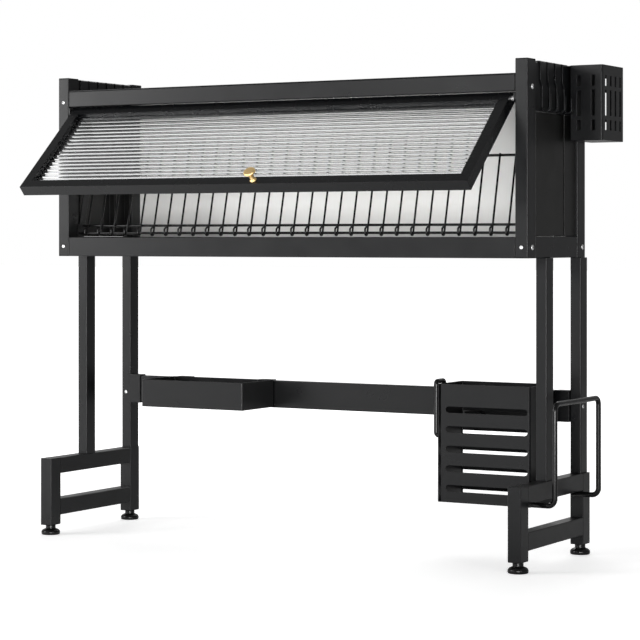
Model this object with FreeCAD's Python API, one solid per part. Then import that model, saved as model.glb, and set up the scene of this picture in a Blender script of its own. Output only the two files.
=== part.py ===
"""Over-sink dish rack: a glazed wall cabinet on four legs that stand on two stepped side frames.

Millimetres, +Z up, +X to the right and the door towards -Y. The model is built with x = 0 on the
cabinet's middle, y = 0 on its front and z = 0 on the worktop. At the end every piece is shifted
together, so that the origin lies at the bottom centre of the whole object's box.
"""
import FreeCAD
import Part
import math
import os

Vector = FreeCAD.Vector

# Cabinet frame
CABINET_WIDTH = 950.0
CABINET_DEPTH = 236.0
CABINET_BOTTOM = 510.0
CABINET_TOP = 838.0
POST_WIDTH = 23.0
POST_DEPTH = 32.0
TUBE_WALL = 1.0
TUBE_CORNER = 1.2
CAP_THICKNESS = 1.5
PLUG_DEPTH = 14.0
PLUG_FLANGE = 1.0
PLUG_INSET = 0.8
SEAT_GAP = 0.3
FIT_GAP = 0.1
RUNNING_GAP = 0.08

# Beams across the front and the back
BEAM_DEPTH = 25.0
BEAM_FRONT_SETBACK = 0.5
TOP_BEAM_DROP = 25.0
TOP_BEAM_HEIGHT = 29.0
BOTTOM_BEAM_HEIGHT = 35.0
BOTTOM_BEAM_DEPTH = 30.0
REAR_BEAM_SETBACK = 6.0
ROOF_THICKNESS = 1.0
ROOF_SIDE_GAP = 1.0
BACK_PANEL_THICKNESS = 1.0
BACK_PANEL_INSET = 2.0

# Sides of the cabinet
SIDE_TOP_DROP = 4.0
SIDE_TOP_RAIL_HEIGHT = 82.0
SIDE_TOP_RAIL_WIDTH = 17.0
SIDE_BOTTOM_RAIL_HEIGHT = 36.0
SIDE_BOTTOM_RAIL_WIDTH = 21.5
SIDE_SHEET = 1.0
SIDE_FIELD_SETBACK = 5.0
SIDE_RECESS_SETBACK = 17.0
SIDE_RECESS_WIDTH = 11.0
SIDE_NARROW_BOARD = 45.0
SIDE_BOARD_GROOVE = 4.0

# Legs and stepped side frames
LEG_WIDTH = 20.0
LEG_DEPTH = 28.0
LEG_OUTSET = 4.0
FRONT_LEG_Y = 66.0
STEP_WIDTH = 24.0
STEP_DEPTH = 30.0
STEP_OUTSET = 8.0
STEP_TOP = 140.0
STEP_TOP_HEIGHT = 29.0
STEP_FRONT_Y = -44.0
STEP_LOWER_BOTTOM = 34.7
STEP_LOWER_HEIGHT = 30.0

# Levelling feet
FOOT_PAD_DIAMETER = 35.0
FOOT_PAD_HEIGHT = 11.0
FOOT_COLLAR_DIAMETER = 18.0
FOOT_COLLAR_HEIGHT = 7.0
FOOT_STUD_DIAMETER = 8.0
FOOT_STUD_LENGTH = 27.0
FOOT_INSERT_DEPTH = 20.0
FOOT_INSERT_FLANGE = 1.5

# Door
DOOR_END_GAP = 9.0
DOOR_THICKNESS = 20.0
DOOR_FRAME_WIDTH = 18.0
DOOR_PIVOT_Y = 9.0
DOOR_PIVOT_DROP = 11.0
DOOR_ABOVE_PIVOT = 4.0
DOOR_BOTTOM_GAP = 11.0
DOOR_WALL = 1.5
DOOR_REST_ANGLE = 47.8
GLAZING_THICKNESS = 3.0
GLAZING_GROOVE = 6.0
GLAZING_EDGE_GAP = 1.0
REED_COUNT = 19
REED_HEIGHT = 1.4
HINGE_PIN_DIAMETER = 5.0
HINGE_SHOULDER_DIAMETER = 9.0
HINGE_PIN_IN_DOOR = 14.0
HINGE_PLATE = 3.0
HINGE_PLATE_RADIUS = 9.0
HINGE_PLATE_BACK_Y = 26.0
HINGE_PLATE_TOP_GAP = 1.0
KNOB_X = 42.0
KNOB_HEAD_DIAMETER = 21.0
KNOB_NECK_DIAMETER = 8.0
KNOB_BASE_DIAMETER = 12.0
KNOB_LENGTH = 21.0
KNOB_HEAD_THICKNESS = 5.0
KNOB_SCREW_DIAMETER = 4.0
KNOB_SCREW_HEAD = 8.0
KNOB_SCREW_HEAD_HEIGHT = 1.5

# Plate rack
WIRE_COUNT = 30
WIRE_END_MARGIN = 22.8
WIRE_SHIFT = -6.0
WIRE_DIAMETER = 3.5
RACK_ROD_DIAMETER = 4.5
RACK_TOP_Y = 67.0
RACK_TOP_RISE = 175.5
RACK_KINK_Y = 38.0
RACK_KINK_RISE = 55.0
RACK_FOOT_Y = 31.2
RACK_FOOT_RISE = 42.2
RACK_FOOT_STEPS = 4
RACK_FOOT_RETURN = 7.0
RACK_TIP_Y = 33.2
RACK_TIP_RISE = 53.4
RACK_TOP_ROD_DROP = 2.2
RACK_KINK_ROD_RISE = 1.8
RACK_PLATE = 2.0
RACK_PLATE_MARGIN = 6.0

# Rail at the back and its end brackets
RAIL_BOTTOM = 229.5
RAIL_HEIGHT = 50.0
RAIL_BEFORE_LEG = 3.0
RAIL_DEPTH = 15.0
BRACKET_LENGTH = 26.0
BRACKET_WALL = 2.0

# Soap tray hung on the rail
TRAY_LEG_GAP = 104.0
TRAY_WIDTH = 221.0
TRAY_DEPTH = 110.0
TRAY_BOTTOM = 230.7
TRAY_HEIGHT = 50.0
SHEET = 1.2
HANGER_DROP = 18.0
HANGER_WIDTH = 30.0
HANGER_END = 20.0

# Slotted basket hung on the rail
BASKET_LEG_GAP = 23.0
BASKET_WIDTH = 175.0
BASKET_DEPTH = 95.0
BASKET_RAIL_GAP = 15.4
BASKET_SPACER = 10.0
BASKET_CORNER_GAP = 6.0
BASKET_BOTTOM = 90.6
BASKET_TOP = 293.0
BASKET_SLOT_LENGTH = 154.0
BASKET_SLOT_HEIGHT = 11.0
BASKET_SLOT_COUNT = 5
BASKET_SLOT_PITCH = 33.6
BASKET_TOP_SLOT_Z = 249.5
BASKET_SLOT_INSET = 5.0
BACK_SLOT_LENGTH = 150.0
BACK_SLOT_LOWER = 13.5
BACK_SLOT_PITCH = 34.6
LOOP_WIRE_DIAMETER = 7.0
LOOP_STANDOFF = 5.5
LOOP_BOTTOM = 203.5
LOOP_TOP = 297.5
LOOP_FRONT_INSET = 5.0
LOOP_SPAN = 31.0
LOOP_BEND = 5.0

# Utensil holder hung on the right side
HOLDER_GAP = 6.5
HOLDER_WIDTH = 60.5
HOLDER_FRONT_Y = 160.0
HOLDER_DEPTH = 93.0
HOLDER_HEIGHT = 126.0
HOLDER_SLOT_WIDTH = 6.0
HOLDER_SIDE_SLOTS = 4
HOLDER_SIDE_PITCH = 20.8
HOLDER_FRONT_SLOTS = 2
HOLDER_FRONT_PITCH = 26.0
HOLDER_BACK_SLOT_SHIFT = 3.3
HOLDER_SLOT_DROPS = ((16.0, 34.0), (40.5, 84.0), (91.0, 108.5))
HOLDER_HANGER_WIDTH = 34.0
HOLDER_HANGER_Y = 166.0
HOLDER_HANGER_DROP = 20.0

# Hooks that hang over the side top rails
HOOK_THICKNESS = 2.5
HOOK_SHANK = 8.0
HOOK_WIDE_DROP = 30.0
HOOK_TAPER = 13.0
HOOK_INNER_DROP = 19.0
HOOK_DROP = 84.0
HOOK_REACH = 16.0
HOOK_TIP_RISE = 28.0
RIGHT_HOOK_COUNT = 4
RIGHT_HOOK_FIRST_Y = 63.0
RIGHT_HOOK_PITCH = 29.6
LEFT_HOOK_COUNT = 6
LEFT_HOOK_FIRST_Y = 50.5
LEFT_HOOK_LAST_Y = CABINET_DEPTH - 48.0
LEFT_HOOK_PITCH = (LEFT_HOOK_LAST_Y - LEFT_HOOK_FIRST_Y) / (LEFT_HOOK_COUNT - 1)
HOOK_SPACING = 4.5
HOOK_WIDTH = LEFT_HOOK_PITCH - HOOK_SPACING

# Towel loop on the right stepped frame
TOWEL_ROD_DIAMETER = 8.0
TOWEL_OUTSET = 45.0
TOWEL_FRONT_Y = 7.5
TOWEL_LEG_GAP = 19.0
TOWEL_TOP = 273.0
TOWEL_BEND = 12.0
TOWEL_END_INSET = 14.0

# Screws
SCREW_DIAMETER = 4.0
SCREW_HEAD_DIAMETER = 7.0
SIDE_SCREW_HEAD_DIAMETER = 9.5
SCREW_HEAD_HEIGHT = 1.8
SCREW_IN_PLUG = 10.0
SIDE_SCREW_Y = 18.0
SIDE_SCREW_BACK = 12.5
TOP_SCREW_RISE = 8.0
LEG_SCREW_LENGTH = 12.0
LEG_SCREW_BACK = 4.0
LEG_FRONT_SCREW_Z = 247.0

# How finely small round things are made
HOLE_SIDES = 8
SCREW_SIDES = 8
FOOT_SIDES = 16
WIRE_SIDES = 6
TURNED_SIDES = 24
PIN_SIDES = 12
LOOP_SIDES = 12
BEND_STEPS = 4
HOOK_BEND_STEPS = 6
SLOT_END_STEPS = 2

# Places that follow from the sizes above
HALF_WIDTH = CABINET_WIDTH / 2.0
POST_INNER = HALF_WIDTH - POST_WIDTH
POST_MIDDLE = HALF_WIDTH - POST_WIDTH / 2.0
REAR_POST_Y = CABINET_DEPTH - POST_DEPTH
TOP_BEAM_TOP = CABINET_TOP - TOP_BEAM_DROP
TOP_BEAM_BOTTOM = TOP_BEAM_TOP - TOP_BEAM_HEIGHT
BOTTOM_BEAM_TOP = CABINET_BOTTOM + BOTTOM_BEAM_HEIGHT
SIDE_TOP = CABINET_TOP - SIDE_TOP_DROP
SIDE_TOP_BOTTOM = SIDE_TOP - SIDE_TOP_RAIL_HEIGHT
SIDE_BOTTOM_TOP = CABINET_BOTTOM + SIDE_BOTTOM_RAIL_HEIGHT
SIDE_RAIL_OUTER = POST_MIDDLE + SIDE_TOP_RAIL_WIDTH / 2.0
SIDE_RAIL_INNER = POST_MIDDLE - SIDE_TOP_RAIL_WIDTH / 2.0
REAR_BEAM_BACK = CABINET_DEPTH - REAR_BEAM_SETBACK
LEG_OUTER = HALF_WIDTH + LEG_OUTSET
LEG_INNER = LEG_OUTER - LEG_WIDTH
REAR_LEG_Y = CABINET_DEPTH - LEG_DEPTH
STEP_OUTER = HALF_WIDTH + STEP_OUTSET
STEP_INNER = STEP_OUTER - STEP_WIDTH
STEP_MIDDLE = STEP_OUTER - STEP_WIDTH / 2.0
STEP_BOTTOM = FOOT_PAD_HEIGHT + FOOT_COLLAR_HEIGHT
RAIL_TOP = RAIL_BOTTOM + RAIL_HEIGHT
RAIL_FRONT_Y = REAR_LEG_Y - RAIL_BEFORE_LEG
RAIL_BACK_Y = RAIL_FRONT_Y + RAIL_DEPTH
DOOR_HALF = POST_INNER - DOOR_END_GAP
DOOR_PIVOT_Z = TOP_BEAM_BOTTOM - DOOR_PIVOT_DROP
DOOR_TOP = DOOR_PIVOT_Z + DOOR_ABOVE_PIVOT
DOOR_BOTTOM = BOTTOM_BEAM_TOP + DOOR_BOTTOM_GAP
WIRE_PITCH = 2.0 * (POST_INNER - WIRE_END_MARGIN) / (WIRE_COUNT - 1)
HINGE_PIN_ACROSS_FLATS = HINGE_PIN_DIAMETER * math.cos(math.pi / PIN_SIDES)
HINGE_BORE_DIAMETER = HINGE_PIN_DIAMETER + 2.0 * RUNNING_GAP
TRAY_LEFT = TRAY_LEG_GAP - LEG_INNER
BASKET_RIGHT = LEG_INNER - BASKET_LEG_GAP
BASKET_LEFT = BASKET_RIGHT - BASKET_WIDTH
SIDES = (("left", -1.0), ("right", 1.0))

nodes = {}


def on_axis(axis, u, v, w):
    """A point whose w runs along the axis and whose u, v are the two other coordinates in order."""
    if axis == "x":
        return Vector(w, u, v)
    if axis == "y":
        return Vector(u, w, v)
    return Vector(u, v, w)


def block(x0, x1, y0, y1, z0, z1):
    """A box from any two opposite corners."""
    low = Vector(min(x0, x1), min(y0, y1), min(z0, z1))
    return Part.makeBox(abs(x1 - x0), abs(y1 - y0), abs(z1 - z0), low)


def rod(start, end, diameter):
    """A round bar between two points."""
    along = end - start
    return Part.makeCylinder(diameter / 2.0, along.Length, start, along)


def prism(axis, points, w0, w1):
    """A polygon of (u, v) points pulled from w0 to w1 along the axis."""
    corners = [on_axis(axis, u, v, w0) for u, v in points]
    face = Part.Face(Part.makePolygon(corners + corners[:1]))
    return face.extrude(on_axis(axis, 0.0, 0.0, w1 - w0))


def soft_prism(axis, u0, u1, v0, v1, w0, w1, radius, steps=1):
    """A bar of rectangular section whose long edges are eased in a number of equal turns."""
    u0, u1 = min(u0, u1), max(u0, u1)
    v0, v1 = min(v0, v1), max(v0, v1)
    centres = ((u1 - radius, v0 + radius, -90.0), (u1 - radius, v1 - radius, 0.0),
               (u0 + radius, v1 - radius, 90.0), (u0 + radius, v0 + radius, 180.0))
    outline = []
    for u, v, start in centres:
        for step in range(steps + 1):
            angle = math.radians(start + 90.0 * step / steps)
            outline.append((u + radius * math.cos(angle), v + radius * math.sin(angle)))
    return prism(axis, outline, w0, w1)


def tube(axis, u0, u1, v0, v1, w0, w1, wall=TUBE_WALL, corner=TUBE_CORNER):
    """A rectangular tube with eased corners, open at both ends."""
    u0, u1 = min(u0, u1), max(u0, u1)
    v0, v1 = min(v0, v1), max(v0, v1)
    outer = soft_prism(axis, u0, u1, v0, v1, w0, w1, corner)
    return outer.cut(block_on(axis, u0 + wall, u1 - wall, v0 + wall, v1 - wall, w0, w1))


def tube_plug(axis, u0, u1, v0, v1, end, inward, inset, depth=PLUG_DEPTH):
    """A plastic end plug: its body fills the tube's end and its flange lies outside the end."""
    u0, u1 = min(u0, u1), max(u0, u1)
    v0, v1 = min(v0, v1), max(v0, v1)
    gap = TUBE_WALL + FIT_GAP
    body = block_on(axis, u0 + gap, u1 - gap, v0 + gap, v1 - gap, end, end + inward * depth)
    thickness = PLUG_FLANGE if inset > 0.0 else CAP_THICKNESS
    flange = soft_prism(axis, u0 + inset, u1 - inset, v0 + inset, v1 - inset,
                        end, end - inward * thickness, TUBE_CORNER)
    return body.fuse(flange).removeSplitter()


def block_on(axis, u0, u1, v0, v1, w0, w1):
    """A box given in an axis' own coordinates."""
    low = on_axis(axis, u0, v0, w0)
    high = on_axis(axis, u1, v1, w1)
    return block(low.x, high.x, low.y, high.y, low.z, high.z)


def skin(rings):
    """A solid bounded by flat faces between rings of equally many points, closed at both ends."""
    faces = []
    for low, high in zip(rings, rings[1:]):
        for index in range(len(low)):
            after = (index + 1) % len(low)
            corners = [low[index], low[after], high[after], high[index], low[index]]
            faces.append(Part.Face(Part.makePolygon(corners)))
    for ring in (rings[0], rings[-1]):
        faces.append(Part.Face(Part.makePolygon(ring + ring[:1])))
    solid = Part.Solid(Part.Shell(faces))
    if solid.Volume < 0.0:
        solid.reverse()
    return solid


def eased_path(points, bend, steps):
    """The points of straight runs whose corners are turned on a radius in a number of steps."""
    path = [points[0]]
    for before, corner, after in zip(points, points[1:], points[2:]):
        back = (before - corner).normalize()
        ahead = (after - corner).normalize()
        half_turn = (math.pi - back.getAngle(ahead)) / 2.0
        centre = corner + (back + ahead).normalize() * (bend / math.cos(half_turn))
        outward = (corner - centre).normalize()
        sideways = (ahead - back).normalize()
        for step in range(steps + 1):
            angle = half_turn * (2.0 * step / steps - 1.0)
            path.append(centre + (outward * math.cos(angle) + sideways * math.sin(angle)) * bend)
    path.append(points[-1])
    return path


def bar_along(path, diameter, sides):
    """A many-sided bar along straight runs that meet in mitres."""
    radius = diameter / 2.0 / math.cos(math.pi / sides)
    first = (path[1] - path[0]).normalize()
    across = first.cross(Vector(0, 0, 1) if abs(first.z) < 0.9 else Vector(1, 0, 0)).normalize()
    upward = first.cross(across).normalize()
    ring = []
    for index in range(sides):
        angle = 2.0 * math.pi * (index + 0.5) / sides
        ring.append(path[0] + (across * math.cos(angle) + upward * math.sin(angle)) * radius)
    rings = [ring]
    for index in range(1, len(path)):
        along = (path[index] - path[index - 1]).normalize()
        if index + 1 < len(path):
            normal = (along + (path[index + 1] - path[index]).normalize()).normalize()
        else:
            normal = along
        ring = []
        for point in rings[-1]:
            reach = (path[index] - point).dot(normal) / along.dot(normal)
            ring.append(point + along * reach)
        rings.append(ring)
    return skin(rings)


def facet_turned(profile, base, direction, sides):
    """A many-sided turning from (radius, height) points, stood at base along a direction."""
    rings = []
    for radius, height in profile:
        ring = []
        for index in range(sides):
            angle = 2.0 * math.pi * (index + 0.5) / sides
            ring.append(Vector(radius * math.cos(angle), radius * math.sin(angle), height))
        rings.append(ring)
    solid = skin(rings)
    solid.Placement = FreeCAD.Placement(base, FreeCAD.Rotation(Vector(0, 0, 1), direction))
    return solid


def drill(name, start, end, diameter):
    """Cut a many-sided hole, as wide as the diameter across its flats, through a node."""
    nodes[name] = nodes[name].cut(bar_along([start, end], diameter, HOLE_SIDES))


def posts():
    """Four hollow posts, closed by caps at the top and, at the front, at the bottom."""
    caps = []
    for side, sign in SIDES:
        outer, inner = sign * HALF_WIDTH, sign * POST_INNER
        for place, y0 in (("front", 0.0), ("rear", REAR_POST_Y)):
            y1 = y0 + POST_DEPTH
            top = CABINET_TOP - CAP_THICKNESS
            bottom = CABINET_BOTTOM + (CAP_THICKNESS if place == "front" else 0.0)
            nodes[place + "_post_" + side] = tube("z", outer, inner, y0, y1, bottom, top)
            caps.append(tube_plug("z", outer, inner, y0, y1, top, -1.0, 0.0))
            if place == "front":
                caps.append(tube_plug("z", outer, inner, y0, y1, bottom, 1.0, 0.0))
    nodes["post_caps"] = Part.makeCompound(caps)


def side_rails():
    """A tall top rail and a bottom rail between the posts on each side."""
    plugs = []
    y0 = POST_DEPTH + PLUG_FLANGE
    y1 = REAR_POST_Y - PLUG_FLANGE
    bottom_half = SIDE_BOTTOM_RAIL_WIDTH / 2.0
    for side, sign in SIDES:
        middle = sign * POST_MIDDLE
        rails = (
            ("side_top_rail_", SIDE_RAIL_INNER * sign, SIDE_RAIL_OUTER * sign, SIDE_TOP_BOTTOM, SIDE_TOP),
            ("side_bottom_rail_", middle - bottom_half, middle + bottom_half, CABINET_BOTTOM,
             SIDE_BOTTOM_TOP),
        )
        for name, x0, x1, z0, z1 in rails:
            nodes[name + side] = tube("y", x0, x1, z0, z1, y0, y1)
            plugs.append(tube_plug("y", x0, x1, z0, z1, y0, 1.0, PLUG_INSET))
            plugs.append(tube_plug("y", x0, x1, z0, z1, y1, -1.0, PLUG_INSET))
    nodes["side_rail_plugs"] = Part.makeCompound(plugs)


def beams():
    """Two beams across the front and two across the back, with plugs in their ends."""
    plugs = []
    front = BEAM_FRONT_SETBACK
    rear = REAR_BEAM_BACK - BEAM_DEPTH
    half = POST_INNER - PLUG_FLANGE
    rows = (
        ("top_beam_front", front, front + BEAM_DEPTH, TOP_BEAM_BOTTOM, TOP_BEAM_TOP),
        ("bottom_beam_front", front, front + BOTTOM_BEAM_DEPTH, CABINET_BOTTOM, BOTTOM_BEAM_TOP),
        ("top_beam_rear", rear, REAR_BEAM_BACK, TOP_BEAM_BOTTOM, TOP_BEAM_TOP),
        ("bottom_beam_rear", rear, REAR_BEAM_BACK, CABINET_BOTTOM, BOTTOM_BEAM_TOP),
    )
    for name, y0, y1, z0, z1 in rows:
        nodes[name] = tube("x", y0, y1, z0, z1, -half, half)
        plugs.append(tube_plug("x", y0, y1, z0, z1, -half, 1.0, PLUG_INSET))
        plugs.append(tube_plug("x", y0, y1, z0, z1, half, -1.0, PLUG_INSET))
    nodes["beam_plugs"] = Part.makeCompound(plugs)


def roof_and_back():
    """A flat roof sheet on the top beams and a pale back sheet on the rear beams."""
    half = POST_INNER - ROOF_SIDE_GAP
    roof = block(-half, half, BEAM_FRONT_SETBACK, REAR_BEAM_BACK, TOP_BEAM_TOP,
                 TOP_BEAM_TOP + ROOF_THICKNESS)
    nodes["roof_panel"] = roof
    half = POST_INNER - SEAT_GAP
    back = block(-half, half, REAR_BEAM_BACK, REAR_BEAM_BACK + BACK_PANEL_THICKNESS,
                 CABINET_BOTTOM + BACK_PANEL_INSET, TOP_BEAM_TOP - BACK_PANEL_INSET)
    nodes["back_panel"] = back


def side_panels():
    """Folded sheet boards that fill each side between its rails: a wide one and a narrow one."""
    z0 = SIDE_BOTTOM_TOP + SEAT_GAP
    z1 = SIDE_TOP_BOTTOM - SEAT_GAP
    field = HALF_WIDTH - SIDE_FIELD_SETBACK
    recess = HALF_WIDTH - SIDE_RECESS_SETBACK
    start = POST_DEPTH + SEAT_GAP
    step = POST_DEPTH + SIDE_RECESS_WIDTH
    narrow_end = REAR_POST_Y - SEAT_GAP
    narrow_start = narrow_end - SIDE_NARROW_BOARD
    wide_end = narrow_start - SIDE_BOARD_GROOVE
    sheet = SIDE_SHEET
    for side, sign in SIDES:
        wide = [
            (start, recess), (step, recess), (step, field), (wide_end, field),
            (wide_end, recess - sheet), (wide_end - sheet, recess - sheet),
            (wide_end - sheet, field - sheet), (step + sheet, field - sheet),
            (step + sheet, recess - sheet), (start, recess - sheet),
        ]
        narrow = [
            (narrow_start, field), (narrow_end, field), (narrow_end, recess - sheet),
            (narrow_end - sheet, recess - sheet), (narrow_end - sheet, field - sheet),
            (narrow_start + sheet, field - sheet), (narrow_start + sheet, recess - sheet),
            (narrow_start, recess - sheet),
        ]
        boards = [prism("z", [(sign * x, y) for y, x in outline], z0, z1) for outline in (wide, narrow)]
        nodes["side_panel_" + side] = Part.makeCompound(boards)


def legs():
    """Front legs stand on the stepped frames, rear legs join the rear posts to them."""
    for side, sign in SIDES:
        outer, inner = sign * LEG_OUTER, sign * LEG_INNER
        for place, y0 in (("front", FRONT_LEG_Y), ("rear", REAR_LEG_Y)):
            nodes[place + "_leg_" + side] = tube("z", outer, inner, y0, y0 + LEG_DEPTH, STEP_TOP,
                                                 CABINET_BOTTOM)


def step_frames():
    """On each side two short posts and two rails between them, welded into one low frame."""
    front_back = STEP_FRONT_Y + STEP_DEPTH
    rear_front = REAR_LEG_Y
    bottom = STEP_BOTTOM + FOOT_INSERT_FLANGE
    for side, sign in SIDES:
        outer, inner = sign * STEP_OUTER, sign * STEP_INNER
        lower_top = STEP_LOWER_BOTTOM + STEP_LOWER_HEIGHT
        front_post = closed_tube(outer, inner, STEP_FRONT_Y, front_back, bottom)
        rear_post = closed_tube(outer, inner, rear_front, rear_front + STEP_DEPTH, bottom)
        upper = tube("y", outer, inner, STEP_TOP - STEP_TOP_HEIGHT, STEP_TOP, front_back, rear_front)
        lower = tube("y", outer, inner, STEP_LOWER_BOTTOM, lower_top, front_back, rear_front)
        welded = front_post.fuse([rear_post, upper, lower]).removeSplitter()
        nodes["step_frame_" + side] = welded


def closed_tube(outer, inner, y0, y1, bottom):
    """A short upright tube with its top welded shut."""
    body = tube("z", outer, inner, y0, y1, bottom, STEP_TOP - TUBE_WALL)
    lid = soft_prism("z", outer, inner, y0, y1, STEP_TOP - TUBE_WALL, STEP_TOP, TUBE_CORNER)
    return body.fuse(lid).removeSplitter()


def feet():
    """Threaded inserts in the four tubes and the levelling feet screwed into them."""
    inserts = []
    pad = FOOT_PAD_DIAMETER / 2.0
    collar = FOOT_COLLAR_DIAMETER / 2.0
    stud = FOOT_STUD_DIAMETER / 2.0
    collar_top = STEP_BOTTOM - SEAT_GAP
    profile = [
        (pad * 0.9, 0.0), (pad, FOOT_PAD_HEIGHT * 0.15), (pad, FOOT_PAD_HEIGHT * 0.5),
        (pad * 0.9, FOOT_PAD_HEIGHT * 0.75), (collar * 1.1, FOOT_PAD_HEIGHT), (collar, FOOT_PAD_HEIGHT),
        (collar, collar_top), (stud, collar_top), (stud, STEP_BOTTOM + FOOT_STUD_LENGTH),
    ]
    gap = TUBE_WALL + FIT_GAP
    flange_top = STEP_BOTTOM + FOOT_INSERT_FLANGE
    for side, sign in SIDES:
        outer, inner = sign * STEP_OUTER, sign * STEP_INNER
        low, high = min(outer, inner), max(outer, inner)
        for place, y0 in (("front", STEP_FRONT_Y), ("rear", REAR_LEG_Y)):
            centre = Vector(sign * STEP_MIDDLE, y0 + STEP_DEPTH / 2.0, 0.0)
            foot = facet_turned(profile, centre, Vector(0, 0, 1), FOOT_SIDES)
            nodes["foot_" + place + "_" + side] = foot
            flange = soft_prism("z", low, high, y0, y0 + STEP_DEPTH, STEP_BOTTOM, flange_top,
                                   TUBE_CORNER)
            body = block(low + gap, high - gap, y0 + gap, y0 + STEP_DEPTH - gap, flange_top,
                         flange_top + FOOT_INSERT_DEPTH)
            bore_size = stud + RUNNING_GAP
            bore = facet_turned([(bore_size, 0.0), (bore_size, STEP_TOP)], centre, Vector(0, 0, 1),
                                FOOT_SIDES)
            inserts.append(flange.fuse(body).removeSplitter().cut(bore))
    nodes["foot_inserts"] = Part.makeCompound(inserts)


def door_box(y0, y1, edge):
    """A box of the closed door's outline, drawn in by a margin on all four edges."""
    half = DOOR_HALF - edge
    return block(-half, half, y0, y1, DOOR_BOTTOM + edge, DOOR_TOP - edge)


def door_frame():
    """Four mitred members of one hollow section with a groove for the glazing."""
    width = DOOR_FRAME_WIDTH
    groove = (DOOR_THICKNESS - GLAZING_THICKNESS) / 2.0 - FIT_GAP
    ring = door_box(0.0, DOOR_THICKNESS, 0.0).cut(door_box(0.0, DOOR_THICKNESS, width))
    glazing_edge = width - GLAZING_GROOVE
    ring = ring.cut(door_box(groove, DOOR_THICKNESS - groove, glazing_edge))
    chamber = door_box(DOOR_WALL, DOOR_THICKNESS - DOOR_WALL, DOOR_WALL)
    chamber = chamber.cut(door_box(0.0, DOOR_THICKNESS, glazing_edge - DOOR_WALL))
    ring = ring.cut(chamber)
    half, top, bottom = DOOR_HALF, DOOR_TOP, DOOR_BOTTOM
    reach = (top - bottom) / 2.0
    middle = (top + bottom) / 2.0
    wedges = (
        ("door_stile_left", [(-half, bottom), (-half, top), (-half + reach, middle)]),
        ("door_stile_right", [(half, bottom), (half, top), (half - reach, middle)]),
        ("door_top_rail", [(-half, top), (half, top), (half - reach, middle), (-half + reach, middle)]),
        ("door_bottom_rail", [(-half, bottom), (half, bottom), (half - reach, middle),
                              (-half + reach, middle)]),
    )
    for name, outline in wedges:
        nodes[name] = ring.common(prism("y", outline, -1.0, DOOR_THICKNESS + 1.0))


def reeded_panel():
    """A clear sheet with a row of half-round reeds across its outer face."""
    edge = DOOR_FRAME_WIDTH - GLAZING_GROOVE + GLAZING_EDGE_GAP
    half = DOOR_HALF - edge
    top = DOOR_TOP - edge
    bottom = DOOR_BOTTOM + edge
    outer = (DOOR_THICKNESS - GLAZING_THICKNESS) / 2.0
    inner = outer + GLAZING_THICKNESS
    margin = GLAZING_GROOVE - GLAZING_EDGE_GAP + SEAT_GAP
    first = bottom + margin
    pitch = (top - bottom - 2.0 * margin) / REED_COUNT
    edges = [Part.LineSegment(Vector(0, outer, bottom), Vector(0, outer, first)).toShape()]
    for index in range(REED_COUNT):
        low = first + index * pitch
        start = Vector(0, outer, low)
        crest = Vector(0, outer - REED_HEIGHT, low + pitch / 2.0)
        end = Vector(0, outer, low + pitch)
        edges.append(Part.Arc(start, crest, end).toShape())
    rest = [Vector(0, outer, top - margin), Vector(0, outer, top), Vector(0, inner, top),
            Vector(0, inner, bottom), Vector(0, outer, bottom)]
    for start, end in zip(rest, rest[1:]):
        edges.append(Part.LineSegment(start, end).toShape())
    face = Part.Face(Part.Wire(edges))
    reeds = face.extrude(Vector(2.0 * half, 0, 0))
    reeds.translate(Vector(-half, 0, 0))
    side_edge = DOOR_FRAME_WIDTH + SEAT_GAP
    for sign in (-1.0, 1.0):
        flat = block(sign * (DOOR_HALF - side_edge), sign * DOOR_HALF, 0.0, outer, bottom, top)
        reeds = reeds.cut(flat)
    nodes["reeded_panel"] = reeds


def knob():
    """A turned knob on the bottom rail and the screw that holds it from behind."""
    z = DOOR_BOTTOM + DOOR_FRAME_WIDTH / 2.0
    head = KNOB_HEAD_DIAMETER / 2.0
    neck = KNOB_NECK_DIAMETER / 2.0
    base = KNOB_BASE_DIAMETER / 2.0
    bore = KNOB_SCREW_DIAMETER / 2.0 + FIT_GAP
    under_head = KNOB_LENGTH - KNOB_HEAD_THICKNESS
    bore_depth = 10.0
    profile = [
        (base, 0.0), (base, 1.6), (neck, 3.0), (neck, 9.0), (head * 0.75, under_head),
        (head, under_head + 1.6), (head, KNOB_LENGTH - 1.2), (head - 1.2, KNOB_LENGTH),
    ]
    foot = Vector(KNOB_X, 0, z)
    outward = Vector(0, -1, 0)
    blind = facet_turned([(bore, 0.0), (bore, bore_depth)], foot, outward, SCREW_SIDES)
    nodes["knob"] = facet_turned(profile, foot, outward, TURNED_SIDES).cut(blind)
    screw_head = KNOB_SCREW_HEAD / 2.0
    shank = KNOB_SCREW_DIAMETER / 2.0
    length = DOOR_THICKNESS + bore_depth - 1.0
    outline = [
        (shank, 0.0), (shank, length), (screw_head, length),
        (screw_head, length + KNOB_SCREW_HEAD_HEIGHT * 0.5),
        (screw_head * 0.7, length + KNOB_SCREW_HEAD_HEIGHT),
    ]
    tip = Vector(KNOB_X, DOOR_THICKNESS - length, z)
    nodes["knob_screw"] = facet_turned(outline, tip, Vector(0, 1, 0), SCREW_SIDES)
    hole = KNOB_SCREW_DIAMETER + 2.0 * FIT_GAP
    drill("door_bottom_rail", tip, Vector(KNOB_X, DOOR_THICKNESS + 1.0, z), hole)


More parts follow.
